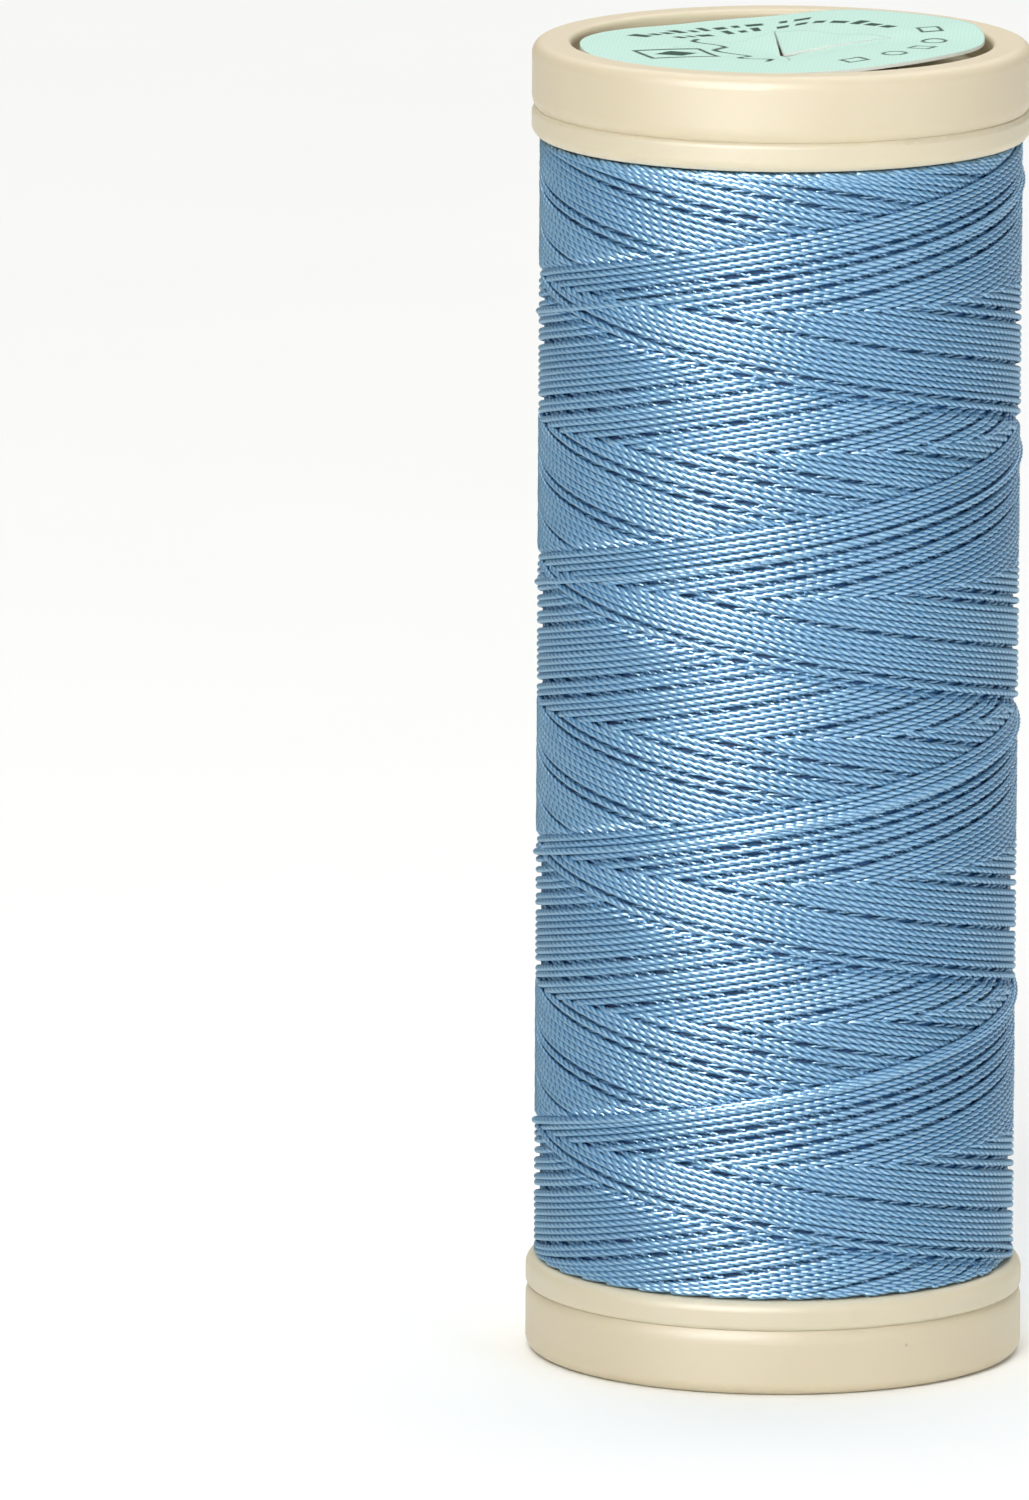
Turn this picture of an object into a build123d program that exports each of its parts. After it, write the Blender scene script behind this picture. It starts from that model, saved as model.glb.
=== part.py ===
from build123d import *

import os
from math import cos, pi, radians, sin, sqrt

# A small spool of sewing silk, standing on its lower end.
#
# The spool is moulded in ivory plastic: a hollow barrel with a thin flange at each end, and two identical
# end caps whose hubs push into the barrel.  A cap can be pulled out a little, which opens a jaw between its
# rim and the flange, where the end of the thread is locked.  A round paper label lies in the recess of each
# cap.  It is slit crosswise, so that a spool pin pushes its four flaps in and goes through the spool.
#
# The frame is +Z up along the spool's axis, with the origin in the middle of the lower end's resting plane.
# Lengths are millimetres.  The parts of an end are drawn for the lower end, where z counts inwards from the
# outer face, and are turned over for the upper end.

# Driving dimensions of the whole spool
SPOOL_HEIGHT = 58.6
FLANGE_RADIUS = 11.0
WINDING_RADIUS = 10.62
WINDING_CORNER = 0.3
THREAD_DIAMETER = 0.30

# End cap
CAP_HEIGHT = 2.9
RIM_WALL = 1.72
RECESS_DEPTH = 1.3
WEB_THICKNESS = 0.9
CAP_CORNER = 0.55
RECESS_CORNER = 0.25
JAW_LIP = 0.2
JAW_LIP_HEIGHT = 0.6
CHANNEL_INNER_RADIUS = 9.95
CHANNEL_WIDTH = 0.5
CHANNEL_DEPTH = 0.37

# Hub of the cap, which plugs into the barrel
HUB_WALL = 0.75
HUB_DEPTH = 9.2
PIN_HOLE_RADIUS = 3.4
GUIDE_START = 5.0
GUIDE_THICKNESS = 1.0
FINGER_SLOTS = 4
FINGER_SLOT_WIDTH = 1.0
FINGER_SLOT_START = 6.4
BARB_HEIGHT = 0.8
BARB_STEP = 0.4

# Barrel with its two flanges
FLANGE_THICKNESS = 1.3
FLANGE_LIP = 0.25
FLANGE_CORNER = 0.5
BARREL_BORE_RADIUS = 6.0
BARREL_WALL = 1.0
CAP_TRAVEL = 1.2
RUNNING_CLEARANCE = 0.1
GROOVE_CLEARANCE = 0.15
NOTCH_WIDTH = 0.5
NOTCH_FLOOR_RADIUS = 10.05

# Label with its crosswise slits.  The lower one is glued to its cap's web, and the upper one has come up.
LABEL_THICKNESS = 0.15
LABEL_RADIUS = 8.92
LABEL_TURN = 38.0
UPPER_LABEL_LIFT = 0.6
SLIT_HALF_LENGTH = 4.9
SLIT_WIDTH = 0.06
FOLD_GAP = 0.1
FLAPS = 4

# End of the thread, locked in the jaw of the upper end
TAIL_ANGLE = -20.0
TAIL_CLIMB = 1.8
TAIL_LEAD = 12.0
TAIL_BEND = 5.0
TAIL_TURN = 250.0
TAIL_CLEARANCE = 0.02

# Sizes that follow from those
rim_inner_radius = FLANGE_RADIUS - RIM_WALL
hub_radius = BARREL_BORE_RADIUS - RUNNING_CLEARANCE
hub_bore_radius = hub_radius - HUB_WALL
hub_middle_radius = hub_radius - HUB_WALL / 2
barb_radius = hub_radius + BARB_STEP
barrel_radius = BARREL_BORE_RADIUS + BARREL_WALL
winding_start = CAP_HEIGHT + FLANGE_THICKNESS
winding_end = SPOOL_HEIGHT - winding_start
web_end = RECESS_DEPTH + WEB_THICKNESS
label_face = RECESS_DEPTH - LABEL_THICKNESS
opening_side = SLIT_HALF_LENGTH * sqrt(2)
fold_distance = opening_side / 2 - FOLD_GAP
thread_radius = THREAD_DIAMETER / 2
channel_radius = CHANNEL_INNER_RADIUS + CHANNEL_WIDTH / 2


def turned_over(piece, lift=0.0):
    """The same piece at the upper end of the spool, raised by lift."""
    return Location((0, 0, SPOOL_HEIGHT + lift), (180, 0, 0)) * piece


def finish(piece, name):
    """Names a finished piece and writes its file."""
    piece.label = name
    export_step(piece, f"parts/{name}.step")


def end_cap():
    """The moulded cap: a thick rim, a web in its recess, and a hub with snap fingers and a pin guide."""
    with BuildPart() as cap:
        # rim, web and hub as one turned profile
        with BuildSketch(Plane.XZ):
            with BuildLine():
                Line((rim_inner_radius, 0), (FLANGE_RADIUS - CAP_CORNER, 0))
                RadiusArc((FLANGE_RADIUS - CAP_CORNER, 0), (FLANGE_RADIUS, CAP_CORNER), -CAP_CORNER)
                Line((FLANGE_RADIUS, CAP_CORNER), (FLANGE_RADIUS, CAP_HEIGHT - JAW_LIP_HEIGHT))
                TangentArc(
                    (FLANGE_RADIUS, CAP_HEIGHT - JAW_LIP_HEIGHT),
                    (FLANGE_RADIUS - JAW_LIP, CAP_HEIGHT),
                    tangent=(0, 1),
                )
                Polyline(
                    (FLANGE_RADIUS - JAW_LIP, CAP_HEIGHT),
                    (rim_inner_radius, CAP_HEIGHT),
                    (rim_inner_radius, web_end),
                    (hub_radius, web_end),
                    (hub_radius, HUB_DEPTH),
                    (hub_bore_radius, HUB_DEPTH),
                    (hub_bore_radius, RECESS_DEPTH),
                    (rim_inner_radius, RECESS_DEPTH),
                    (rim_inner_radius, 0),
                )
            make_face()
        revolve(axis=Axis.Z)
        # soft edge where the rim meets the recess
        outer_face_edges = cap.edges().filter_by(GeomType.CIRCLE).group_by(Axis.Z)[0]
        fillet(outer_face_edges.sort_by(SortBy.RADIUS)[0], radius=RECESS_CORNER)
        # ring inside the hub that guides a spool pin
        with BuildSketch(Plane.XY.offset(GUIDE_START)):
            Circle(hub_middle_radius)
            Circle(PIN_HOLE_RADIUS, mode=Mode.SUBTRACT)
        extrude(amount=GUIDE_THICKNESS)
        # snap barb at the end of the hub
        with BuildSketch(Plane.XZ):
            Polygon(
                (hub_middle_radius, HUB_DEPTH - BARB_HEIGHT),
                (barb_radius, HUB_DEPTH - BARB_HEIGHT),
                (barb_radius, HUB_DEPTH - BARB_HEIGHT / 2),
                (hub_radius, HUB_DEPTH),
                (hub_middle_radius, HUB_DEPTH),
                align=None,
            )
        revolve(axis=Axis.Z)
        # slots between the fingers, which let them spring inwards
        with BuildSketch(Plane.XY.offset(FINGER_SLOT_START)):
            for slot in range(FINGER_SLOTS // 2):
                Rectangle(4 * hub_radius, FINGER_SLOT_WIDTH, rotation=45 + 90 * slot)
        extrude(amount=HUB_DEPTH, mode=Mode.SUBTRACT)
        # channel in the jaw face, where the locked thread lies
        with BuildSketch(Plane.XY.offset(CAP_HEIGHT)):
            Circle(CHANNEL_INNER_RADIUS + CHANNEL_WIDTH)
            Circle(CHANNEL_INNER_RADIUS, mode=Mode.SUBTRACT)
        extrude(amount=-CHANNEL_DEPTH, mode=Mode.SUBTRACT)
    return cap.part


def label_disc():
    """The paper disc without its flaps."""
    with BuildPart() as disc:
        with BuildSketch(Plane.XY.offset(label_face)):
            Circle(LABEL_RADIUS)
            Rectangle(opening_side, opening_side, rotation=LABEL_TURN, mode=Mode.SUBTRACT)
        extrude(amount=LABEL_THICKNESS)
    return disc.part


def label_flap(number):
    """One of the triangles that the two slits leave in the middle of the label."""
    tip = SLIT_WIDTH / sqrt(2)
    with BuildPart() as flap:
        with BuildSketch(Plane.XY.offset(label_face)):
            Polygon(
                (tip, 0),
                (fold_distance, fold_distance - tip),
                (fold_distance, tip - fold_distance),
                align=None,
            )
        extrude(amount=LABEL_THICKNESS)
    return Rotation(0, 0, LABEL_TURN + 360 / FLAPS * number) * flap.part


def flange_profile(face, inward):
    """Half section of a flange: its outer face is at height face, and its winding side lies inward."""
    inner = face + inward * FLANGE_THICKNESS
    Line((BARREL_BORE_RADIUS, face), (FLANGE_RADIUS - FLANGE_LIP, face))
    TangentArc(
        (FLANGE_RADIUS, face + inward * FLANGE_LIP),
        (FLANGE_RADIUS - FLANGE_LIP, face),
        tangent=(0, -inward),
    )
    Line((FLANGE_RADIUS, face + inward * FLANGE_LIP), (FLANGE_RADIUS, inner - inward * FLANGE_CORNER))
    TangentArc(
        (FLANGE_RADIUS, inner - inward * FLANGE_CORNER),
        (FLANGE_RADIUS - FLANGE_CORNER, inner),
        tangent=(0, inward),
    )
    Line((FLANGE_RADIUS - FLANGE_CORNER, inner), (BARREL_BORE_RADIUS, inner))
    Line((BARREL_BORE_RADIUS, inner), (BARREL_BORE_RADIUS, face))


def spool_body():
    """The barrel, its two flanges, and the grooves and notches moulded into them."""
    with BuildPart() as body:
        for face, inward in ((CAP_HEIGHT, 1), (SPOOL_HEIGHT - CAP_HEIGHT, -1)):
            with BuildSketch(Plane.XZ):
                with BuildLine():
                    flange_profile(face, inward)
                make_face()
            revolve(axis=Axis.Z)
        with BuildSketch(Plane.XY.offset(CAP_HEIGHT)):
            Circle(barrel_radius)
            Circle(BARREL_BORE_RADIUS, mode=Mode.SUBTRACT)
        extrude(amount=SPOOL_HEIGHT - 2 * CAP_HEIGHT)
        # grooves that hold the barbs of the caps and end their travel
        groove_length = BARB_HEIGHT + CAP_TRAVEL + 2 * RUNNING_CLEARANCE
        groove_end = HUB_DEPTH + RUNNING_CLEARANCE
        for start in (groove_end - groove_length, SPOOL_HEIGHT - groove_end):
            with BuildSketch(Plane.XY.offset(start)):
                Circle(barb_radius + GROOVE_CLEARANCE)
            extrude(amount=groove_length, mode=Mode.SUBTRACT)
        # notch in each flange, where the thread can go over its edge
        for start in (CAP_HEIGHT, winding_end):
            with BuildSketch(Plane.XY.offset(start)):
                with Locations(Rotation(0, 0, -TAIL_ANGLE) * Location((NOTCH_FLOOR_RADIUS, 0))):
                    Rectangle(FLANGE_RADIUS, NOTCH_WIDTH, align=(Align.MIN, Align.CENTER))
            extrude(amount=FLANGE_THICKNESS, mode=Mode.SUBTRACT)
    return body.part


def thread_winding():
    """The wound silk as one closed package between the flanges."""
    with BuildPart() as package:
        with BuildSketch(Plane.XY.offset(winding_start)):
            Circle(WINDING_RADIUS)
            Circle(barrel_radius, mode=Mode.SUBTRACT)
        extrude(amount=winding_end - winding_start)
        outer_edges = package.edges().filter_by(GeomType.CIRCLE).sort_by(SortBy.RADIUS)[-2:]
        fillet(outer_edges, radius=WINDING_CORNER)
    return package.part


def around(radius, angle, height):
    """A point at a radius and an angle about the spool's axis."""
    return (radius * cos(radians(angle)), radius * sin(radians(angle)), height)


def thread_tail():
    """The end of the thread: off the winding, through the flange's notch and round the cap's channel."""
    on_winding = WINDING_RADIUS + thread_radius + TAIL_CLEARANCE
    in_notch = NOTCH_FLOOR_RADIUS + 3 * thread_radius
    in_channel = CAP_HEIGHT - thread_radius - TAIL_CLEARANCE
    middle_of_flange = CAP_HEIGHT + FLANGE_THICKNESS / 2
    with BuildPart() as tail:
        with BuildLine() as route:
            climb = FilletPolyline(
                around(on_winding, TAIL_ANGLE + TAIL_LEAD, winding_start + TAIL_CLIMB),
                around(on_winding, TAIL_ANGLE, winding_start + THREAD_DIAMETER),
                around(in_notch, TAIL_ANGLE, middle_of_flange),
                around(channel_radius / cos(radians(TAIL_BEND)), TAIL_ANGLE, in_channel),
                around(channel_radius, TAIL_ANGLE - TAIL_BEND, in_channel),
                radius=[2 * THREAD_DIAMETER, THREAD_DIAMETER, THREAD_DIAMETER],
            )
            CenterArc((0, 0, in_channel), channel_radius, TAIL_ANGLE - TAIL_BEND, -TAIL_TURN)
        with BuildSketch(Plane(origin=climb @ 0, z_dir=climb % 0)):
            Circle(thread_radius)
        sweep(path=route.wires()[0])
    length = route.wires()[0].length
    volume = pi * thread_radius**2 * length
    print(f"thread_tail is {length:.1f} mm long, and has {tail.part.volume / volume:.3f} of its volume")
    return tail.part


os.makedirs("parts", exist_ok=True)

finish(end_cap(), "lower_cap")
finish(turned_over(end_cap()), "upper_cap")
finish(label_disc(), "lower_label")
finish(turned_over(label_disc(), UPPER_LABEL_LIFT), "upper_label")
for flap_number in range(FLAPS):
    finish(label_flap(flap_number), f"lower_label_flap_{flap_number + 1}")
    finish(turned_over(label_flap(flap_number), UPPER_LABEL_LIFT), f"upper_label_flap_{flap_number + 1}")
finish(spool_body(), "spool_body")
finish(thread_winding(), "thread_winding")
finish(turned_over(thread_tail()), "thread_tail")
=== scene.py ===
# %% [markdown]
# # A spool of sewing silk
#
# The object is a small ivory spool, about as tall as a thumb, wound with twisted light blue silk.  Its moulded
# parts come finished from the engineering model, which this script loads as a fixed frame.  What the frame
# can't show is made here: the silk itself, strand by strand, the slit paper labels, and every surface finish.
# Blender works in metres, and so does the frame, so nothing has to be fitted.

from math import ceil, cos, pi, radians, sin, sqrt

import bmesh
import bpy
import numpy as np
from mathutils import Matrix, Vector


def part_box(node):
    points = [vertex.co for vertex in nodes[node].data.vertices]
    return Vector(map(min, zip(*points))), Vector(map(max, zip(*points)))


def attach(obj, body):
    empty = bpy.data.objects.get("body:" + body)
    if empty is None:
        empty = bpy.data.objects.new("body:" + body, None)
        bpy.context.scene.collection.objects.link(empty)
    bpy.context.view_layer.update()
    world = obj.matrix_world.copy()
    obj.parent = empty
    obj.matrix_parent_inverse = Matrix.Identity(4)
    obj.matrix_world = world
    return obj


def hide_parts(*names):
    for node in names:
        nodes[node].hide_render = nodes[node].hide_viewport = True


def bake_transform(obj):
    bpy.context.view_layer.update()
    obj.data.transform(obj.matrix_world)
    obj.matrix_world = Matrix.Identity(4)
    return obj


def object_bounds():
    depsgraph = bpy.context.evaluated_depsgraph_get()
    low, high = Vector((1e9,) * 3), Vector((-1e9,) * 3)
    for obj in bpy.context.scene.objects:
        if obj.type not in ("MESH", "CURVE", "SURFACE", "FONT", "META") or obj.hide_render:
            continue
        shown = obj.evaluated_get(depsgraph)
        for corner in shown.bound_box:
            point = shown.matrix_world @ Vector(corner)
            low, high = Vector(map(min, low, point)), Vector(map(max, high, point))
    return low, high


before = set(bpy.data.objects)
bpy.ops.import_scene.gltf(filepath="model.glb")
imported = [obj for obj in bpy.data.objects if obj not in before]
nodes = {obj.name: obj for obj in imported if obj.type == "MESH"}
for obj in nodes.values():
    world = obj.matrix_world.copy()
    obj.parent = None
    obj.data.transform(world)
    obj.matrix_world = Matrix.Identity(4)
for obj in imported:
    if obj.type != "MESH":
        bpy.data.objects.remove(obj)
frame_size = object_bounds()
print("nodes:", ", ".join(sorted(nodes)))
print("frame box:", [[round(v * 1000, 2) for v in corner] for corner in frame_size], "mm")

# %% [markdown]
# Sizes are easier to think of in millimetres, so one constant turns them into metres.  Colours are written as
# the hex values of a colour chart, which are sRGB.  Shaders work with linear light, so one function converts
# them.  Another adds a node to a material, sets it and links it, which keeps each material short to read.

# %% Units, colours and a node helper
MM = 0.001


def linear(hex_colour):
    """A colour chart's #RRGGBB as the linear RGBA that a shader works with."""
    values = [int(hex_colour[i : i + 2], 16) / 255 for i in (1, 3, 5)]
    straight = [v / 12.92 if v <= 0.04045 else ((v + 0.055) / 1.055) ** 2.4 for v in values]
    return (*straight, 1.0)


def add_node(tree, kind, settings=None, **links):
    """Adds a node.  settings are its own properties; links give an input a value or another node's output."""
    node = tree.nodes.new(kind)
    for name, value in (settings or {}).items():
        setattr(node, name, value)
    for name, value in links.items():
        key = int(name[1:]) if name[0] == "i" and name[1:].isdigit() else name.replace("_", " ")
        if isinstance(value, bpy.types.NodeSocket):
            tree.links.new(value, node.inputs[key])
        else:
            node.inputs[key].default_value = value
    return node


def new_material(name, **sockets):
    """A material with a Principled shader, whose uniform values are set on its own sockets."""
    material = bpy.data.materials.new(name)
    material.use_nodes = True
    shader = material.node_tree.nodes["Principled BSDF"]
    for socket, value in sockets.items():
        shader.inputs[socket.replace("_", " ")].default_value = value
    return material, material.node_tree, shader


print("mid blue in linear light:", [round(v, 3) for v in linear("#7FAFD6")[:3]])

# %% [markdown]
# The camera comes first, because it says how much detail each part needs.  It stands almost a metre away and
# looks down on the spool by some ten degrees, through a very long lens, so that the ends of the spool show as
# flat ellipses and its sides stay nearly parallel.  Its angles are given as a camera operator would give
# them: turn, tilt and roll.

# %% Camera
CAMERA_PLACE = Vector((45.9, -942.5, 201.1)) * MM
CAMERA_TURN = radians(3.493)
CAMERA_TILT = radians(10.465)
CAMERA_ROLL = radians(0.296)
FOCAL_WIDTHS = 21.08  # focal length over the width of the picture

camera_data = bpy.data.cameras.new("camera")
camera_data.sensor_fit = "HORIZONTAL"
camera_data.lens = FOCAL_WIDTHS * camera_data.sensor_width
camera = bpy.data.objects.new("camera", camera_data)
camera.matrix_world = (
    Matrix.Translation(CAMERA_PLACE)
    @ Matrix.Rotation(CAMERA_TURN, 4, "Z")
    @ Matrix.Rotation(pi / 2 - CAMERA_TILT, 4, "X")
    @ Matrix.Rotation(CAMERA_ROLL, 4, "Z")
)
bpy.context.scene.collection.objects.link(camera)
bpy.context.scene.camera = camera
camera_data.clip_start = 0.01
bpy.context.scene.view_settings.view_transform = "Standard"
print("lens", round(camera_data.lens), "mm, from", [round(v, 3) for v in CAMERA_PLACE], "m")

# %% [markdown]
# Product pictures of small things are taken in a light tent, with large soft lamps near the camera.  Here the
# world looks white to the camera, and lights the object only dimly, so that the background and the light can
# be set apart.  The floor is matt white board.  A key lamp stands high at the front left, a fill lamp at the
# right keeps that side from going grey, and a wide top lamp lights the floor.  A fourth lamp is a gloss card:
# it shows only in glossy reflections, and puts the bright band down the silk.

# %% Floor and light
FLOOR_SIDE = 6.0


def soft_lamp(name, place, side, power, colour="#FFFFFF"):
    """A square area lamp that looks at the middle of the spool."""
    data = bpy.data.lights.new(name, "AREA")
    data.size = side
    data.energy = power
    data.color = linear(colour)[:3]
    lamp = bpy.data.objects.new(name, data)
    lamp.location = place
    middle = Vector((0, 0, frame_size[1][2] / 2))
    lamp.rotation_euler = (middle - lamp.location).to_track_quat("-Z", "Y").to_euler()
    bpy.context.scene.collection.objects.link(lamp)
    return lamp


world = bpy.data.worlds.new("light_tent")
world.use_nodes = True
tree = world.node_tree
shown, output = tree.nodes["Background"], tree.nodes["World Output"]
shown.inputs["Color"].default_value = linear("#FFFFFF")
dim = add_node(tree, "ShaderNodeBackground", Color=linear("#FBFDFF"), Strength=0.1)
rays = add_node(tree, "ShaderNodeLightPath")
either = add_node(
    tree, "ShaderNodeMixShader", i0=rays.outputs["Is Camera Ray"], i1=dim.outputs[0], i2=shown.outputs[0]
)
tree.links.new(either.outputs[0], output.inputs["Surface"])
bpy.context.scene.world = world

soft_lamp("key_lamp", (-0.1, -0.38, 0.3), 0.2, 1.15, "#FFFDF8")
soft_lamp("fill_lamp", (0.45, -0.42, 0.22), 0.25, 0.85, "#F8FBFF")
soft_lamp("top_lamp", (0.0, 0.5, 1.3), 1.8, 22.0, "#FFFFFF")
gloss_card = soft_lamp("gloss_card", (-0.17, -0.4, 0.24), 0.36, 5.5, "#FFFFFF")
gloss_card.visible_diffuse = False

floor_mesh = bpy.data.meshes.new("floor")
half = FLOOR_SIDE / 2
corners = [(-half, -half, 0), (half, -half, 0), (half, half, 0), (-half, half, 0)]
floor_mesh.from_pydata(corners, [], [(0, 1, 2, 3)])
floor = bpy.data.objects.new("floor", floor_mesh)
bpy.context.scene.collection.objects.link(floor)
board, board_tree, board_shader = new_material("white_board", Roughness=0.9, Specular_IOR_Level=0.1)
board_grain = add_node(board_tree, "ShaderNodeTexNoise", Scale=180.0, Detail=3.0)
board_colour = add_node(
    board_tree,
    "ShaderNodeMix",
    {"data_type": "RGBA"},
    Factor=board_grain.outputs["Fac"],
    i6=linear("#FBFCFA"),
    i7=linear("#FEFEFC"),
)
board_tree.links.new(board_colour.outputs[2], board_shader.inputs["Base Color"])
floor_mesh.materials.append(board)
print("lamps and a", FLOOR_SIDE, "m floor")

# %% [markdown]
# ## The silk
#
# A thread guide moves up and down while the spool turns, so the silk lies in two families of helices that
# cross each other.  Here it goes from flange to flange in four turns.  Each time up and down starts a little
# earlier round the spool, by one strand's width, and after thirty-eight times the surface is covered.
#
# A texture could fake this, but its strands would have no depth at the edge of the spool, and the crossings
# are what makes a wound spool look wound.  So the thread is laid as the winder lays it: one path, three
# hundred turns long, swept with a section of three twisted plies.

# %% Sizes of the winding
silk_low, silk_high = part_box("thread_winding")
THREAD = 0.30 * MM
CYCLES = 38
TURNS_PER_TRAVERSE = 4
TWIST_LENGTH = 1.40 * MM
FIRST_TURNING_POINT = radians(2.0)
silk_radius = silk_high[0]
over_radius = silk_radius + 0.03 * MM - THREAD / 2
under_radius = over_radius - 0.8 * THREAD
ROUNDING = 0.35 * MM
lowest = silk_low[2] + 0.6 * THREAD - ROUNDING
highest = silk_high[2] - 0.6 * THREAD + ROUNDING
climb_per_turn = (highest - lowest) / (TURNS_PER_TRAVERSE - 1 / (2 * CYCLES))
strand_step = climb_per_turn / CYCLES
traverse_angle = 2 * pi * TURNS_PER_TRAVERSE - pi / CYCLES
whole_angle = 2 * CYCLES * traverse_angle
print("helix climbs", round(climb_per_turn / MM, 2), "mm a turn; strands", round(strand_step / MM, 3), "mm apart")

# %% [markdown]
# Real strands aren't evenly spaced.  Two or three lie close together, then comes a gap that shows the layer
# below.  So each strand gets its own share of the space, drawn from a seeded random generator, which gives
# the same spool every time.

# %% Uneven spacing of the strands
random = np.random.default_rng(20)


def uneven_steps():
    """Where each cycle's strand lies, in strand steps away from an even spacing."""
    shares = 0.86 + 0.12 * random.random(CYCLES) + 0.55 * (random.random(CYCLES) < 0.24)
    places = np.concatenate([[0.0], np.cumsum(shares)])
    places *= CYCLES / places[-1]
    return places[:CYCLES] - np.arange(CYCLES)


rising_offsets = uneven_steps()
falling_offsets = uneven_steps()
print("widest gap", round(float(np.diff(rising_offsets).max() + 1), 2), "strand steps")

# %% [markdown]
# The path's height is a rounded zigzag.  Where a strand crosses the other family, the one that was laid later
# is on top.  The place round the spool and the height together say which cycles cross there, so the strand's
# radius can be worked out at each point: over, under, or on its way between the two.

# %% The thread's path
SAMPLE = TWIST_LENGTH / 12
CROSSINGS_TO_CHANGE = 1.3


def smooth(x):
    """Goes smoothly from 0 to 1 as x goes from 0 to 1."""
    x = np.clip(x, 0.0, 1.0)
    return x * x * (3 - 2 * x)


def height_at(angle):
    """The path's height, which way it goes, and its cycle, at an angle counted from the thread's start."""
    leg = angle / traverse_angle
    cycle = np.minimum(np.floor(leg / 2), CYCLES - 1).astype(int)
    part = leg - 2 * cycle
    rising = part < 1
    from_turning = np.minimum(np.abs(part), np.minimum(np.abs(part - 1), np.abs(2 - part)))
    run = from_turning * traverse_angle / (2 * pi) * climb_per_turn
    cut = np.sqrt(run**2 + ROUNDING**2) - run
    straight = np.where(rising, part, 2 - part) * traverse_angle / (2 * pi) * climb_per_turn
    near_bottom = np.where(rising, part < 0.5, part > 1.5)
    height = lowest + straight + np.where(near_bottom, cut, -cut)
    settled = smooth(run / (4 * THREAD))
    drift = np.where(rising, rising_offsets[cycle], -falling_offsets[cycle]) * strand_step
    return height + drift * settled, rising, cycle


def over_share(angle, height, rising, cycle):
    """1 where the strand lies over the other family, 0 where it lies under it."""
    round_spool = angle / (2 * pi)
    rising_cycle = CYCLES * np.mod((height - lowest) / climb_per_turn - round_spool, 1.0)
    falling_cycle = np.mod(CYCLES * ((highest - height) / climb_per_turn - round_spool) - 0.5, CYCLES)
    other = np.where(rising, falling_cycle, rising_cycle)
    later = other < cycle
    inside = np.minimum(cycle - other, other)
    outside = np.minimum(other - cycle, CYCLES - other)
    return smooth(np.where(later, inside, -outside) / CROSSINGS_TO_CHANGE + 0.5)


sample_angle = SAMPLE / sqrt(over_radius**2 + (climb_per_turn / (2 * pi)) ** 2)
angles = np.arange(0, whole_angle, sample_angle)
heights, rising, cycles = height_at(angles)
over = over_share(angles, heights, rising, cycles)
every_other = np.arange(len(angles)) % 2 == 0
keep = (over > 0.03) | every_other
angles, heights, rising, cycles, over = (a[keep] for a in (angles, heights, rising, cycles, over))
print(len(angles), "rings along the thread")

# %% Centre line of the thread
wander_phase = random.random(2 * CYCLES) * 2 * pi
leg_number = np.minimum((angles / traverse_angle).astype(int), 2 * CYCLES - 1)
wander = np.sin(angles * 1.7 + wander_phase[leg_number]) * np.sin(angles * 0.31 + leg_number)
radii = under_radius + (over_radius - under_radius) * over + 0.012 * MM * wander
world_angles = angles + FIRST_TURNING_POINT
centre = np.stack([radii * np.cos(world_angles), radii * np.sin(world_angles), heights], axis=1)
steps = np.linalg.norm(np.diff(centre, axis=0), axis=1)
along = np.concatenate([[0.0], np.cumsum(steps)])
print("thread laid:", round(float(along[-1]), 2), "m in the outer double layer")

# %% [markdown]
# The section is three plies: three round lobes with narrow grooves between them, nine points in all.  It turns
# once in 1.4 mm, to the right, as a Z-twisted thread does.  Every ring of nine points is set square to the
# path, and neighbouring rings are joined by quads.  The thread is cut into pieces of a few cycles each, which
# keeps every mesh to a size that other programs can open.

# %% Sweep the plies along a path
GROOVE, SHOULDER = 0.66, 0.985
SHOULDER_ANGLE = radians(24)
PLIES = 3
lobe_angles = (-pi / PLIES, -SHOULDER_ANGLE, SHOULDER_ANGLE)
section_angles = np.array([2 * pi / PLIES * ply + angle for ply in range(PLIES) for angle in lobe_angles])
section_radii = np.array([GROOVE, SHOULDER, SHOULDER] * PLIES) * THREAD / 2
SIDES = len(section_angles)


def swept_thread(path, distances, outward):
    """Vertices of a twisted thread along a path; outward is a rough sideways direction at each point."""
    tangent = np.gradient(path, axis=0)
    tangent /= np.linalg.norm(tangent, axis=1, keepdims=True)
    normal = outward - tangent * np.sum(outward * tangent, axis=1, keepdims=True)
    normal /= np.linalg.norm(normal, axis=1, keepdims=True)
    side = np.cross(tangent, normal)
    turn = section_angles[None, :] + (2 * pi * distances / TWIST_LENGTH)[:, None]
    ring = np.cos(turn)[..., None] * normal[:, None, :] + np.sin(turn)[..., None] * side[:, None, :]
    return path[:, None, :] + ring * section_radii[None, :, None]


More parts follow.
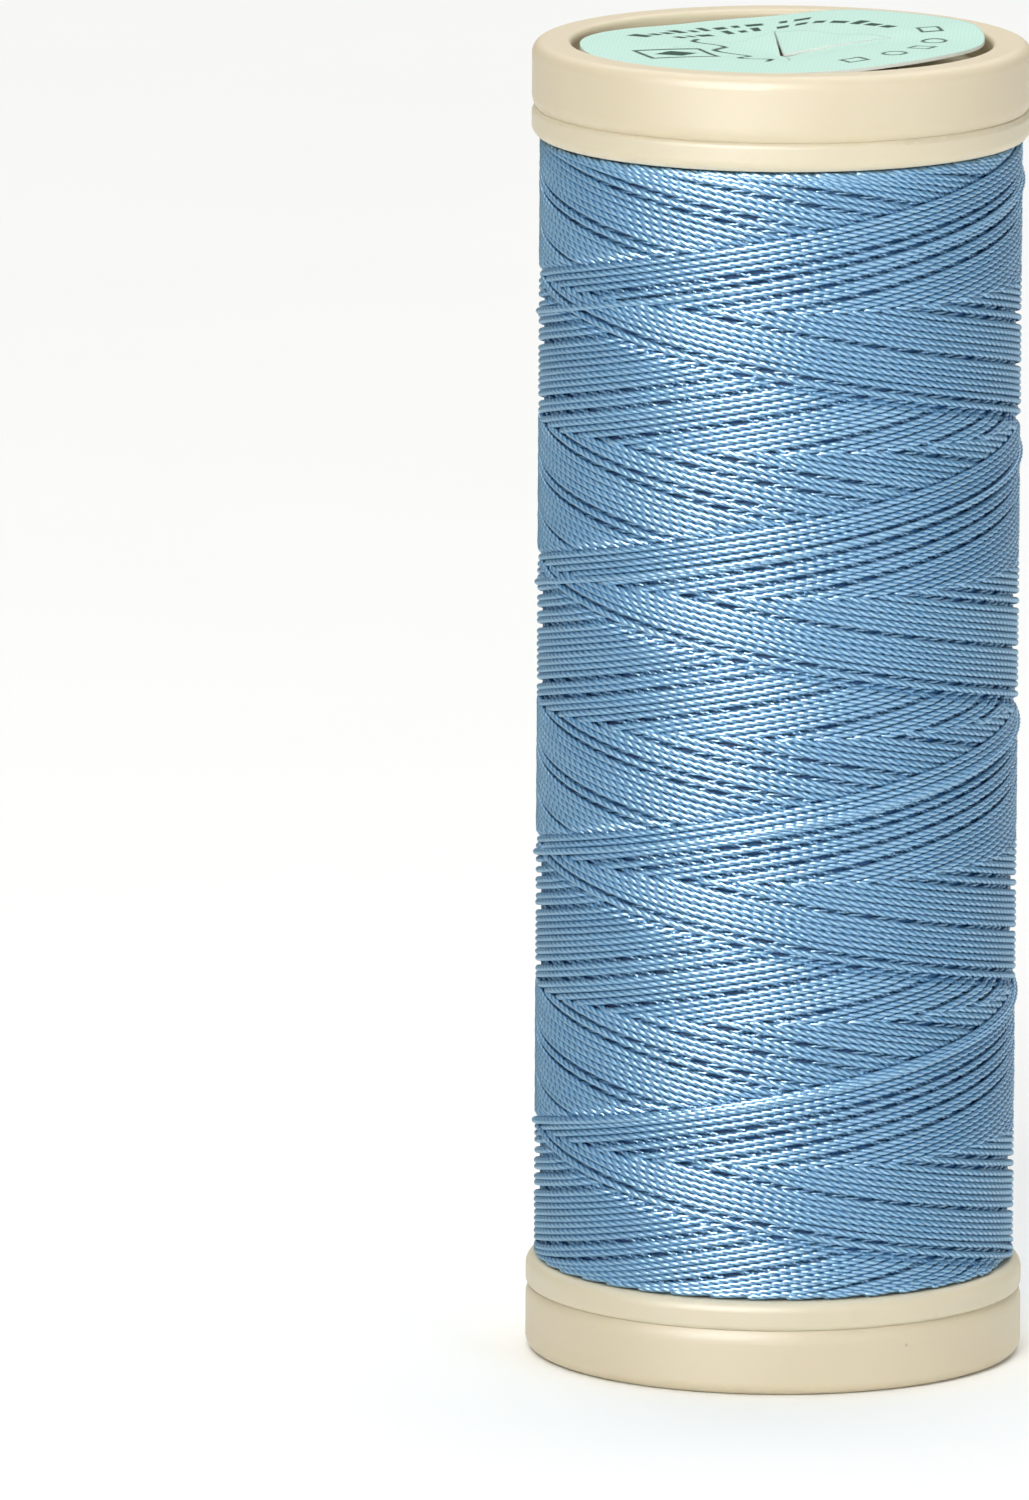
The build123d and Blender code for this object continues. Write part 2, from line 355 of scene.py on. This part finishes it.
def thread_mesh(name, rings, distances, tone):
    """A closed mesh from rings of vertices, with distance and tone kept for the material."""
    count = len(rings)
    first = (np.arange(count - 1) * SIDES)[:, None] + np.arange(SIDES)[None, :]
    second = (np.arange(count - 1) * SIDES)[:, None] + (np.arange(SIDES)[None, :] + 1) % SIDES
    quads = np.stack([first, second, second + SIDES, first + SIDES], axis=2).reshape(-1, 4)
    ends = np.concatenate([np.arange(SIDES)[::-1], (count - 1) * SIDES + np.arange(SIDES)])
    mesh = bpy.data.meshes.new(name)
    mesh.vertices.add(count * SIDES)
    mesh.vertices.foreach_set("co", rings.reshape(-1).astype(np.float32))
    mesh.loops.add(len(quads) * 4 + len(ends))
    mesh.loops.foreach_set("vertex_index", np.concatenate([quads.reshape(-1), ends]).astype(np.int32))
    mesh.polygons.add(len(quads) + 2)
    starts = np.concatenate([np.arange(len(quads)) * 4, len(quads) * 4 + np.array([0, SIDES])])
    mesh.polygons.foreach_set("loop_start", starts.astype(np.int32))
    mesh.polygons.foreach_set("use_smooth", np.ones(len(quads) + 2, bool))
    mesh.update(calc_edges=True)
    along_thread = np.stack([distances[:-1], distances[:-1], distances[1:], distances[1:]], axis=1) / MM
    around = np.arange(SIDES)[:, None] / SIDES + np.array([0, 1, 1, 0])[None, :] / SIDES
    uv = np.zeros((count - 1, SIDES, 4, 2), np.float32)
    uv[..., 0] = along_thread[:, None, :]
    uv[..., 1] = around[None, :, :]
    layer = mesh.uv_layers.new(name="along_and_around")
    layer.data.foreach_set("uv", np.concatenate([uv.reshape(-1), np.zeros(len(ends) * 2, np.float32)]))
    shade = mesh.attributes.new("tone", "FLOAT", "POINT")
    shade.data.foreach_set("value", np.repeat(tone, SIDES).astype(np.float32))
    return mesh


def as_piece(mesh, body, slot, material, *replaced):
    """Puts a mesh in the scene as a piece that rides on a body."""
    piece = bpy.data.objects.new(mesh.name, mesh)
    bpy.context.scene.collection.objects.link(piece)
    mesh.materials.append(material)
    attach(piece, body)
    if replaced:
        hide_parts(*replaced)
    return piece


print("section of", SIDES, "points, lobes", round(THREAD / MM, 2), "mm across")

# %% [markdown]
# Silk is a bundle of clear, smooth, three-sided filaments, dyed through.  The eye sees a deep colour where
# the light goes into the bundle and between the strands, and a nearly white, silky glint along each ply.
# Here the grooves between the plies are painted a deep blue, a painted shade, and pale, partly metallic
# streaks on the ply crests are a painted highlight.
# The shader is a dyed dielectric with the index of refraction of silk, some gloss and a little sheen for the
# fine loose fibres.  Fine streaks along the plies stand for the filaments.  They are some 0.01 mm in reality,
# and are drawn coarser here so that they show at all.

# %% Twisted silk
silk, tree, shader = new_material(
    "dyed_silk_three_ply_painted_groove_shade_and_highlight",
    Roughness=0.3,
    IOR=1.54,
    Specular_IOR_Level=1.0,
    Coat_Weight=0.4,
    Coat_Roughness=0.3,
    Sheen_Weight=0.05,
    Sheen_Roughness=0.35,
    Sheen_Tint=linear("#DDF0FF"),
)
place = add_node(tree, "ShaderNodeUVMap", {"uv_map": "along_and_around"})
stretched = add_node(tree, "ShaderNodeMapping", Vector=place.outputs["UV"], Scale=(1.6, 40.0, 1.0))
filaments = add_node(
    tree, "ShaderNodeTexNoise", {"noise_dimensions": "2D"}, Vector=stretched.outputs["Vector"], Scale=1.0, Detail=2.0
)
tone = add_node(tree, "ShaderNodeAttribute", {"attribute_name": "tone"})
dye = add_node(
    tree, "ShaderNodeMix", {"data_type": "RGBA"}, Factor=tone.outputs["Fac"], i6=linear("#5AA2CE"), i7=linear("#7CBADE")
)
across = add_node(tree, "ShaderNodeSeparateXYZ", Vector=place.outputs["UV"])
plies = add_node(tree, "ShaderNodeMath", {"operation": "MULTIPLY"}, i0=across.outputs["Y"], i1=float(PLIES))
crest = add_node(tree, "ShaderNodeMath", {"operation": "PINGPONG"}, i0=plies.outputs[0], i1=0.5)
# Painted shade: the grooves between the plies are coloured a deep blue, and the crests keep the dye.
groove_shade_and_crest_highlight_mask = add_node(tree, "ShaderNodeMapRange", {"interpolation_type": "SMOOTHSTEP"}, i0=crest.outputs[0], i1=0.05, i2=0.3)
plied_with_painted_groove_shade = add_node(
    tree, "ShaderNodeMix", {"data_type": "RGBA"}, Factor=groove_shade_and_crest_highlight_mask.outputs[0], i6=linear("#2470A8"), i7=dye.outputs[2]
)
# Painted highlight: streaks on the ply crests turn the base colour a pale blue white and partly metallic.
bright = add_node(
    tree, "ShaderNodeMapRange", {"interpolation_type": "SMOOTHSTEP"}, i0=filaments.outputs["Fac"], i1=0.3, i2=0.58
)
bright_crest = add_node(tree, "ShaderNodeMath", {"operation": "MULTIPLY"}, i0=bright.outputs[0], i1=groove_shade_and_crest_highlight_mask.outputs[0])
painted_highlight_and_metallic = add_node(tree, "ShaderNodeMath", {"operation": "MULTIPLY"}, i0=bright_crest.outputs[0], i1=0.58)
silk_colour_with_painted_light = add_node(
    tree, "ShaderNodeMix", {"data_type": "RGBA"}, Factor=painted_highlight_and_metallic.outputs[0], i6=plied_with_painted_groove_shade.outputs[2], i7=linear("#C2E0F4")
)
tree.links.new(silk_colour_with_painted_light.outputs[2], shader.inputs["Base Color"])
tree.links.new(painted_highlight_and_metallic.outputs[0], shader.inputs["Metallic"])
relief = add_node(tree, "ShaderNodeBump", Strength=0.25, Distance=0.02 * MM, Height=filaments.outputs["Fac"])
tree.links.new(relief.outputs["Normal"], shader.inputs["Normal"])
print("silk material with", len(tree.nodes), "nodes")

# %% The winding as pieces
RINGS_PER_PIECE = 10500
outward = np.stack([np.cos(world_angles), np.sin(world_angles), np.zeros_like(world_angles)], axis=1)
rings = swept_thread(centre, along, outward)
leg_tone = random.random(2 * CYCLES)
tones = np.clip(0.55 * leg_tone[leg_number] + 0.25 + 0.2 * np.sin(along / (7.3 * MM) + leg_number), 0, 1)
pieces = ceil(len(rings) / RINGS_PER_PIECE)
edges = np.linspace(0, len(rings) - 1, pieces + 1).astype(int)
for number, (start, stop) in enumerate(zip(edges[:-1], edges[1:]), start=1):
    part = slice(start, stop + 1)
    mesh = thread_mesh(f"silk_strands_{number:02d}", rings[part], along[part], tones[part])
    as_piece(mesh, "core", "silk", silk, "thread_winding")
print(pieces, "pieces of thread with", len(rings) * SIDES * 2, "triangles")

# %% [markdown]
# Under the outer double layer lies the rest of the thread, which only shows as a dark blue in the gaps.
# A ring with a ribbed skin stands for it.  Its blue is a painted shade, darker than the outer silk and in
# darker and lighter bands one strand step apart.

# %% Inner layers
PROFILE_POINTS = 240


def turned_ring(name, profile, steps_round):
    """A closed ring turned from a closed profile of (radius, height) points."""
    turn = np.arange(steps_round) * 2 * pi / steps_round
    outline = np.array(profile)
    points = np.stack(
        [
            outline[None, :, 0] * np.cos(turn)[:, None],
            outline[None, :, 0] * np.sin(turn)[:, None],
            np.broadcast_to(outline[None, :, 1], (steps_round, len(outline))),
        ],
        axis=2,
    ).reshape(-1, 3)
    count = len(outline)
    faces = [
        (
            i * count + j,
            (i + 1) % steps_round * count + j,
            (i + 1) % steps_round * count + (j + 1) % count,
            i * count + (j + 1) % count,
        )
        for i in range(steps_round)
        for j in range(count)
    ]
    mesh = bpy.data.meshes.new(name)
    mesh.from_pydata(points.tolist(), [], faces)
    mesh.polygons.foreach_set("use_smooth", np.ones(len(mesh.polygons), bool))
    return mesh


inner_silk_painted_shade, tree, shader = new_material("silk_inner_layers_painted_shade", Roughness=0.7, IOR=1.54, Sheen_Weight=0.1)
object_place = add_node(tree, "ShaderNodeTexCoord")
ribs = add_node(
    tree,
    "ShaderNodeTexWave",
    {"wave_type": "BANDS", "bands_direction": "Z"},
    Vector=object_place.outputs["Object"],
    Scale=2 * pi / (20 * strand_step),
    Distortion=1.5,
)
# Painted shade: a darker blue than the outer silk, in darker and lighter bands one strand step apart.
rib_painted_shade = add_node(
    tree, "ShaderNodeMix", {"data_type": "RGBA"}, Factor=ribs.outputs["Fac"], i6=linear("#2666A4"), i7=linear("#4C90CA")
)
tree.links.new(rib_painted_shade.outputs[2], shader.inputs["Base Color"])
rib_relief = add_node(tree, "ShaderNodeBump", Strength=0.6, Distance=0.1 * MM, Height=ribs.outputs["Fac"])
tree.links.new(rib_relief.outputs["Normal"], shader.inputs["Normal"])
barrel_radius = 7.0 * MM
RIB_DEPTH = 0.03 * MM
inner_radius = under_radius - 0.35 * THREAD
margin = 0.02 * MM
rib_heights = np.linspace(silk_low[2] + margin, silk_high[2] - margin, PROFILE_POINTS)
rib_radii = inner_radius + RIB_DEPTH * np.cos(rib_heights / strand_step * 2 * pi)
profile = [(barrel_radius, rib_heights[0]), *zip(rib_radii, rib_heights), (barrel_radius, rib_heights[-1])]
as_piece(turned_ring("silk_inner_layers", profile, 128), "core", "silk", inner_silk_painted_shade, "thread_winding")
print("inner layers to a radius of", round(inner_radius / MM, 2), "mm")

# %% [markdown]
# ## The end of the thread
#
# The last turns climb from the bottom of the winding to the upper flange on top of all the others.  There the
# thread goes through a notch in the flange's edge, and lies locked in the channel of the cap's jaw face.

# %% Last turns and the locked end
tail_low, tail_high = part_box("thread_tail")
tail_start_angle = radians(8)
notch_angle = radians(20)
channel_angle = radians(25)
channel_turn = radians(250)
channel_radius = 10.2 * MM
notch_foot_height = 54.1 * MM
notch_edge_radius, notch_edge_height = 10.5 * MM, 55.05 * MM
channel_height = tail_high[2] - THREAD / 2
last_turns = TURNS_PER_TRAVERSE * 2 * pi + tail_start_angle - FIRST_TURNING_POINT
resting_radius = over_radius + 0.4 * THREAD


def on_spool(radius, angle, height):
    """Points at a radius and an angle about the spool's axis."""
    radius, angle, height = np.broadcast_arrays(radius, angle, height)
    return np.stack([radius * np.cos(angle), radius * np.sin(angle), height], axis=-1)


def evenly(points, step):
    """The same line with its points one step apart, and the distance along it."""
    lengths = np.concatenate([[0.0], np.cumsum(np.linalg.norm(np.diff(points, axis=0), axis=1))])
    distances = np.linspace(0, lengths[-1], ceil(lengths[-1] / step) + 1)
    return np.stack([np.interp(distances, lengths, points[:, i]) for i in range(3)], axis=1), distances


turn = np.linspace(0, last_turns, 4000)
run = turn / last_turns * (tail_low[2] + 0.25 * MM - lowest)
climb = lowest + np.sqrt(run**2 + ROUNDING**2)
radius = over_radius + (resting_radius - over_radius) * smooth(turn / radians(40))
last_climb = on_spool(radius, FIRST_TURNING_POINT + turn, climb)
to_notch = on_spool(notch_edge_radius, notch_angle, notch_edge_height)
in_channel = on_spool(channel_radius, channel_angle + np.linspace(0, channel_turn, 600), channel_height)
route = np.concatenate(
    [
        last_climb,
        on_spool(resting_radius, notch_angle, notch_foot_height)[None],
        to_notch[None],
        on_spool(channel_radius, notch_angle, channel_height)[None],
        in_channel,
    ]
)
fine, _ = evenly(route, 0.02 * MM)
window = np.hanning(31)[1:-1]
window /= window.sum()
ends = len(window) // 2
padded_route = np.concatenate([np.repeat(fine[:1], ends, 0), fine, np.repeat(fine[-1:], ends, 0)])
rounded_route = np.stack([np.convolve(padded_route[:, i], window, "valid") for i in range(3)], axis=1)
route, distances = evenly(rounded_route, SAMPLE)
away = route * np.array([1, 1, 0])
rings = swept_thread(route, distances, away)
mesh = thread_mesh("silk_last_turns", rings, distances, np.full(len(route), 0.7))
as_piece(mesh, "core", "silk", silk, "thread_tail")
print("last turns and locked end:", round(float(distances[-1]) / MM), "mm")

# %% [markdown]
# ## Moulded plastic
#
# The caps, the barrel and its flanges are ivory polystyrene.  It lets light in a little way before it sends
# it back, which makes its shadows warm.  The mould was blasted, so the surface is satin, with a relief too
# fine to see as more than a broken highlight.  The flanges are moulded from a slightly paler batch.

# %% Ivory plastic
def ivory(name, base, shade):
    """Moulded ivory polystyrene: satin, a little translucent, with faint flow clouds."""
    material, tree, shader = new_material(
        name, Roughness=0.5, IOR=1.59, Subsurface_Weight=0.22, Subsurface_Scale=0.7 * MM
    )
    shader.inputs["Subsurface Radius"].default_value = (1.0, 0.7, 0.4)
    position = add_node(tree, "ShaderNodeTexCoord")
    clouds = add_node(tree, "ShaderNodeTexNoise", Vector=position.outputs["Object"], Scale=180.0, Detail=3.0)
    tint = add_node(
        tree,
        "ShaderNodeMix",
        {"data_type": "RGBA"},
        Factor=clouds.outputs["Fac"],
        i6=linear(base),
        i7=linear(shade),
    )
    cells = add_node(tree, "ShaderNodeTexVoronoi", Vector=position.outputs["Object"], Scale=260.0)
    speck = add_node(tree, "ShaderNodeMapRange", i0=cells.outputs["Distance"], i1=0.02, i2=0.035, i3=0.45, i4=0.0)
    speckled = add_node(
        tree, "ShaderNodeMix", {"data_type": "RGBA"}, Factor=speck.outputs[0], i6=tint.outputs[2], i7=linear("#7E7668")
    )
    tree.links.new(speckled.outputs[2], shader.inputs["Base Color"])
    grain = add_node(tree, "ShaderNodeTexNoise", Vector=position.outputs["Object"], Scale=5200.0, Detail=2.0)
    relief = add_node(tree, "ShaderNodeBump", Strength=0.12, Distance=0.02 * MM, Height=grain.outputs["Fac"])
    tree.links.new(relief.outputs["Normal"], shader.inputs["Normal"])
    return material


finishes = {
    "cap_plastic": ivory("moulded_ivory_polystyrene_cap", "#E0D3B8", "#DACDB0"),
    "body_plastic": ivory("moulded_ivory_polystyrene_barrel", "#E0D6BC", "#DBD0B5"),
}
moulded = {"lower_cap": "cap_plastic", "upper_cap": "cap_plastic", "spool_body": "body_plastic"}
for name, slot_name in moulded.items():
    nodes[name].data.materials.clear()
    nodes[name].data.materials.append(finishes[slot_name])
print("plastic on", ", ".join(moulded))

# %% [markdown]
# ## The labels
#
# Each label is a disc of pale aqua paper.  Two slits cross in its middle, so that a spool pin can push the
# four corners in.  The print is worked out in the label's own millimetres, as a field that is one on ink and
# zero on paper: short dashes in two curved rows, five plain shapes on an arc, a framed diamond and a wavy
# line.  It stays in the mesh as a value at each vertex, so the rings of the mesh have to be fine.

# %% Fields that draw the print
INK_EDGE = 0.05


def stroke(distance, width):
    """Ink where a distance is less than half a stroke's width, with a soft edge."""
    return np.clip((width / 2 - distance) / INK_EDGE + 0.5, 0, 1)


def box_distance(x, y, half_x, half_y):
    """Distance to a rectangle's outline, negative inside."""
    return np.maximum(np.abs(x) - half_x, np.abs(y) - half_y)


def turned(x, y, angle):
    """Coordinates with their first axis turned to an angle."""
    return x * cos(angle) + y * sin(angle), y * cos(angle) - x * sin(angle)


def dash_row(x, y, radius, height, start, end, seed):
    """A curved row of upright dashes of uneven width and height between two angles in degrees."""
    dashes = np.random.default_rng(seed)
    angle = np.degrees(np.arctan2(y, x)) % 360
    along_row = (angle - start) % 360
    distance = np.full(x.shape, 9.0)
    place = 0.0
    while place < (end - start) % 360:
        width = dashes.choice([0.35, 0.55, 0.8])
        tall = height * dashes.choice([0.6, 0.6, 1.0])
        half_turn = np.degrees(width / 2 / radius)
        from_middle = np.abs(along_row - place - half_turn) * pi / 180 * radius
        low_side = np.sqrt(x**2 + y**2) - radius
        distance = np.minimum(distance, box_distance(from_middle, low_side + (height - tall) / 2, width / 2, tall / 2))
        place += np.degrees((width + dashes.choice([0.3, 0.3, 0.3, 0.75])) / radius)
    return np.clip(-distance / INK_EDGE + 0.5, 0, 1) * (np.abs(along_row - (end - start) / 2) < (end - start) / 2 + 8)


def print_field(x, y):
    """Share of ink at points of the label, in millimetres from its middle; the print's top is at 207 degrees."""
    ink = np.maximum(dash_row(x, y, 7.0, 0.95, 82, 154, 3), dash_row(x, y, 5.7, 0.9, 31, 148, 8))
    top = radians(207)
    right, up = turned(x, y, top - pi / 2)
    wave_height = 0.5 * np.sin(right * 2.4) * (1 - (np.abs(right) / 5.4) ** 3)
    wave = stroke(np.abs(up - 2.4 - wave_height) / 1.25, 0.24)
    ink = np.maximum(ink, wave * (np.abs(right) < 4.2))
    across, high = right, up - 5.1
    ink = np.maximum(ink, stroke(np.abs(box_distance(across, high, 1.05, 1.55)), 0.22))
    ink = np.maximum(ink, stroke(np.abs(across) / 0.62 + np.abs(high) / 1.0 - 1, 0.1))
    for number, degrees_round in enumerate((301, 320, 339, 358, 377)):
        out, side_way = turned(x, y, radians(degrees_round))
        out = out - 6.7
        if number % 2:
            shape = np.abs(np.sqrt(out**2 + side_way**2) - 0.5)
        else:
            shape = np.abs(box_distance(out, side_way, 0.45, 0.45))
        ink = np.maximum(ink, stroke(shape, 0.16))
    return ink


print("share of ink at the label's middle:", round(float(print_field(np.array(0.0), np.array(0.0))), 2))

# %% [markdown]
# The lower label is still glued flat.  The upper one has come up from its web and bowed: it lies just under
# the rim at the left, and above it at the right.  Its rise is given at some angles round its edge, made into
# a smooth curve, and falls off to nothing towards the middle.

# %% Shape of the bowed paper
LABEL_RADIUS = 8.9
UPPER_EDGE_RISE = {
    0: 0.68,
    18: 0.98,
    40: 0.85,
    77: 0.72,
    95: 0.3,
    126: 0.08,
    160: 0.3,
    180: 0.4,
    216: 0.3,
    250: 0.38,
    270: 0.46,
    290: 0.56,
    306: 0.72,
    327: 0.8,
}
FLAP_TIP_RISE = {"upper": (-0.1, -0.02, -0.07, 0.05), "lower": (-0.06, 0.05, -0.04, 0.0)}
DIMPLE = 0.1


def edge_rise(angle):
    """How far the upper label's edge stands above its middle, by angle."""
    fine_angles = np.arange(0, 360, 2.0)
    rises = np.interp(fine_angles, list(UPPER_EDGE_RISE), list(UPPER_EDGE_RISE.values()), period=360)
    weights = np.hanning(15)[1:-1]
    rolled = [np.roll(rises, shift) * w for shift, w in zip(range(-6, 7), weights)]
    return np.interp(np.degrees(angle), fine_angles, sum(rolled) / weights.sum(), period=360)


def paper_height(end, x, y):
    """Height of the paper above the frame's flat label, in millimetres, outward from the spool."""
    share = np.sqrt(x**2 + y**2) / LABEL_RADIUS
    if end == "upper":
        steep = 1.84 * share
        return (edge_rise(np.arctan2(y, x)) + DIMPLE) * steep / (1 + steep**4) ** 0.25 - DIMPLE
    return 0.05 * share**4 * (1 + np.cos(3 * np.arctan2(y, x) + 1.0))


print("upper label's edge rises up to", round(float(edge_rise(np.linspace(0, 2 * pi, 90)).max()), 2), "mm")

# %% Paper
paper, tree, shader = new_material(
    "printed_label_paper_linen_finish", Roughness=0.85, IOR=1.5, Specular_IOR_Level=0.25
)
LINEN_PITCH = 0.17
label_place = add_node(tree, "ShaderNodeUVMap", {"uv_map": "label_mm"})
ink = add_node(tree, "ShaderNodeAttribute", {"attribute_name": "ink"})
weave = [
    add_node(
        tree,
        "ShaderNodeTexWave",
        {"wave_type": "BANDS", "bands_direction": direction},
        Vector=label_place.outputs["UV"],
        Scale=2 * pi / (20 * LINEN_PITCH),
        Distortion=0.6,
    )
    for direction in ("X", "Y")
]
linen = add_node(
    tree, "ShaderNodeMath", {"operation": "MULTIPLY"}, i0=weave[0].outputs["Fac"], i1=weave[1].outputs["Fac"]
)
stock = add_node(
    tree, "ShaderNodeMix", {"data_type": "RGBA"}, Factor=linen.outputs[0], i6=linear("#BBDDD1"), i7=linear("#C6E6DB")
)
printed = add_node(
    tree,
    "ShaderNodeMix",
    {"data_type": "RGBA"},
    Factor=ink.outputs["Fac"],
    i6=stock.outputs[2],
    i7=linear("#2F4A3C"),
)
tree.links.new(printed.outputs[2], shader.inputs["Base Color"])
relief = add_node(tree, "ShaderNodeBump", Strength=0.2, Distance=0.02 * MM, Height=linen.outputs[0])
tree.links.new(relief.outputs["Normal"], shader.inputs["Normal"])
bare = new_material(
    "label_paper_cut_edge_and_back", Roughness=0.8, IOR=1.5, Base_Color=linear("#EAF1EA")
)[0]
print("linen threads per centimetre:", round(10 / LINEN_PITCH))

# %% [markdown]
# A piece of paper is made from a grid of points: rays from near the middle, each cut into the same number of
# steps.  The disc's rays start at the square of fold lines and end at its round edge.  A flap's rays start at
# its tip and end at the fold.  The grid is laid out once for the printed face and once for the back, and a
# strip of cut edge joins the two.

# %% Make a piece of paper from a grid
PAPER = 0.15


def edge_points(number, closed):
    """The pairs of neighbours along the paper's edge: all round it, or on the two rims of a closed ring."""
    if closed:
        inner, outer = number[0], number[-1, ::-1]
        return np.concatenate([inner[:-1], outer[:-1]]), np.concatenate([inner[1:], outer[1:]])
    outline = np.concatenate([number[0, :-1], number[:-1, -1], number[-1, :0:-1], number[:0:-1, 0]])
    return outline, np.roll(outline, -1)


def paper_piece(name, end, grid, extra_rise, closed=False):
    """Paper from a grid of (x, y) points in the label's millimetres, seen from outside the spool."""
    rows, columns = grid.shape[:2]
    x, y = grid[..., 0], grid[..., 1]
    rise = paper_height(end, x, y) + extra_rise
    low, high = (c[2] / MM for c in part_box(f"{end}_label"))
    if end == "upper":
        face = np.stack([x, y, high + rise], axis=2)
        back = face - np.array([0, 0, PAPER])
    else:
        face = np.stack([x, -y, low - rise], axis=2)
        back = face + np.array([0, 0, PAPER])
    number = np.arange(rows * columns).reshape(rows, columns)
    quads = np.stack([number[:-1, :-1], number[:-1, 1:], number[1:, 1:], number[1:, :-1]], axis=-1).reshape(-1, 4)
    size = rows * columns
    here, following = edge_points(number, closed)
    edge = np.stack([here, here + size, following + size, following], axis=1)
    faces = np.concatenate([quads, quads[:, ::-1] + size, edge])
    mesh = bpy.data.meshes.new(name)
    mesh.from_pydata((np.concatenate([face.reshape(-1, 3), back.reshape(-1, 3)]) * MM).tolist(), [], faces.tolist())
    kinds = np.concatenate([np.zeros(len(quads)), np.ones(len(quads) + len(edge))]).astype(np.int32)
    smooth_faces = np.concatenate([np.ones(2 * len(quads), bool), np.zeros(len(edge), bool)])
    mesh.polygons.foreach_set("material_index", kinds)
    mesh.polygons.foreach_set("use_smooth", smooth_faces)
    ink_share = mesh.attributes.new("ink", "FLOAT", "POINT")
    printed_ink = print_field(x, y).reshape(-1)
    ink_share.data.foreach_set("value", np.concatenate([printed_ink, 0 * printed_ink]).astype(np.float32))
    corner_vertices = np.zeros(len(mesh.loops), np.int32)
    mesh.loops.foreach_get("vertex_index", corner_vertices)
    flat = np.stack([x, y], axis=-1).reshape(-1, 2)
    place_on_label = flat[corner_vertices % size].reshape(-1).astype(np.float32)
    mesh.uv_layers.new(name="label_mm").data.foreach_set("uv", place_on_label)
    mesh.materials.append(paper)
    mesh.materials.append(bare)
    piece = bpy.data.objects.new(name, mesh)
    bpy.context.scene.collection.objects.link(piece)
    return piece


def face_outward(piece):
    """Joins points that coincide, and turns every face to point out of the paper."""
    mesh = bmesh.new()
    mesh.from_mesh(piece.data)
    bmesh.ops.remove_doubles(mesh, verts=mesh.verts, dist=0.0005 * MM)
    bmesh.ops.recalc_face_normals(mesh, faces=mesh.faces)
    mesh.to_mesh(piece.data)
    mesh.free()


# %% The four flaps and the disc of each label
FOLD = 3.415
LABEL_TURN = radians(38)
SLIT, SLIT_AT_CROSSING = 0.04, 0.14
DISC_RAYS, DISC_STEPS = 577, 60
FLAP_RAYS, FLAP_STEPS = 61, 42
TIP_SHARE = 0.035  # where a flap's tip ends, as a share of the way from the middle to its fold
for end in ("upper", "lower"):
    angle = np.linspace(0, 2 * pi, DISC_RAYS)
    square = FOLD / np.maximum(np.abs(np.cos(angle + LABEL_TURN)), np.abs(np.sin(angle + LABEL_TURN)))
    steps = np.linspace(0, 1, DISC_STEPS)[:, None]
    radius = square[None, :] * (1 - steps) + LABEL_RADIUS * steps
    grid = np.stack([radius * np.cos(angle), radius * np.sin(angle)], axis=2)
    disc = paper_piece(f"{end}_paper_disc", end, grid, 0.0, closed=True)
    face_outward(disc)
    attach(disc, f"{end}_end")
    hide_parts(f"{end}_label")
    for number in range(4):
        middle = -LABEL_TURN - number * pi / 2
        across = np.linspace(-1, 1, FLAP_RAYS)[None, :]
        outward_steps = np.linspace(TIP_SHARE, 1, FLAP_STEPS)[:, None]
        out = FOLD * outward_steps + 0 * across
        gap = SLIT + (SLIT_AT_CROSSING - SLIT) * (1 - outward_steps)
        sideways = across * np.maximum(out - gap / sqrt(2), 0.01)
        x = out * cos(middle) - sideways * sin(middle)
        y = out * sin(middle) + sideways * cos(middle)
        tip_rise = FLAP_TIP_RISE[end][number] * (1 - outward_steps) ** 1.5 + 0 * across
        flap = paper_piece(f"{end}_paper_flap_{number + 1}", end, np.stack([x, y], axis=2), tip_rise)
        face_outward(flap)
        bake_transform(flap)
        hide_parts(f"{end}_label_flap_{number + 1}")
print("two labels with four flaps each")
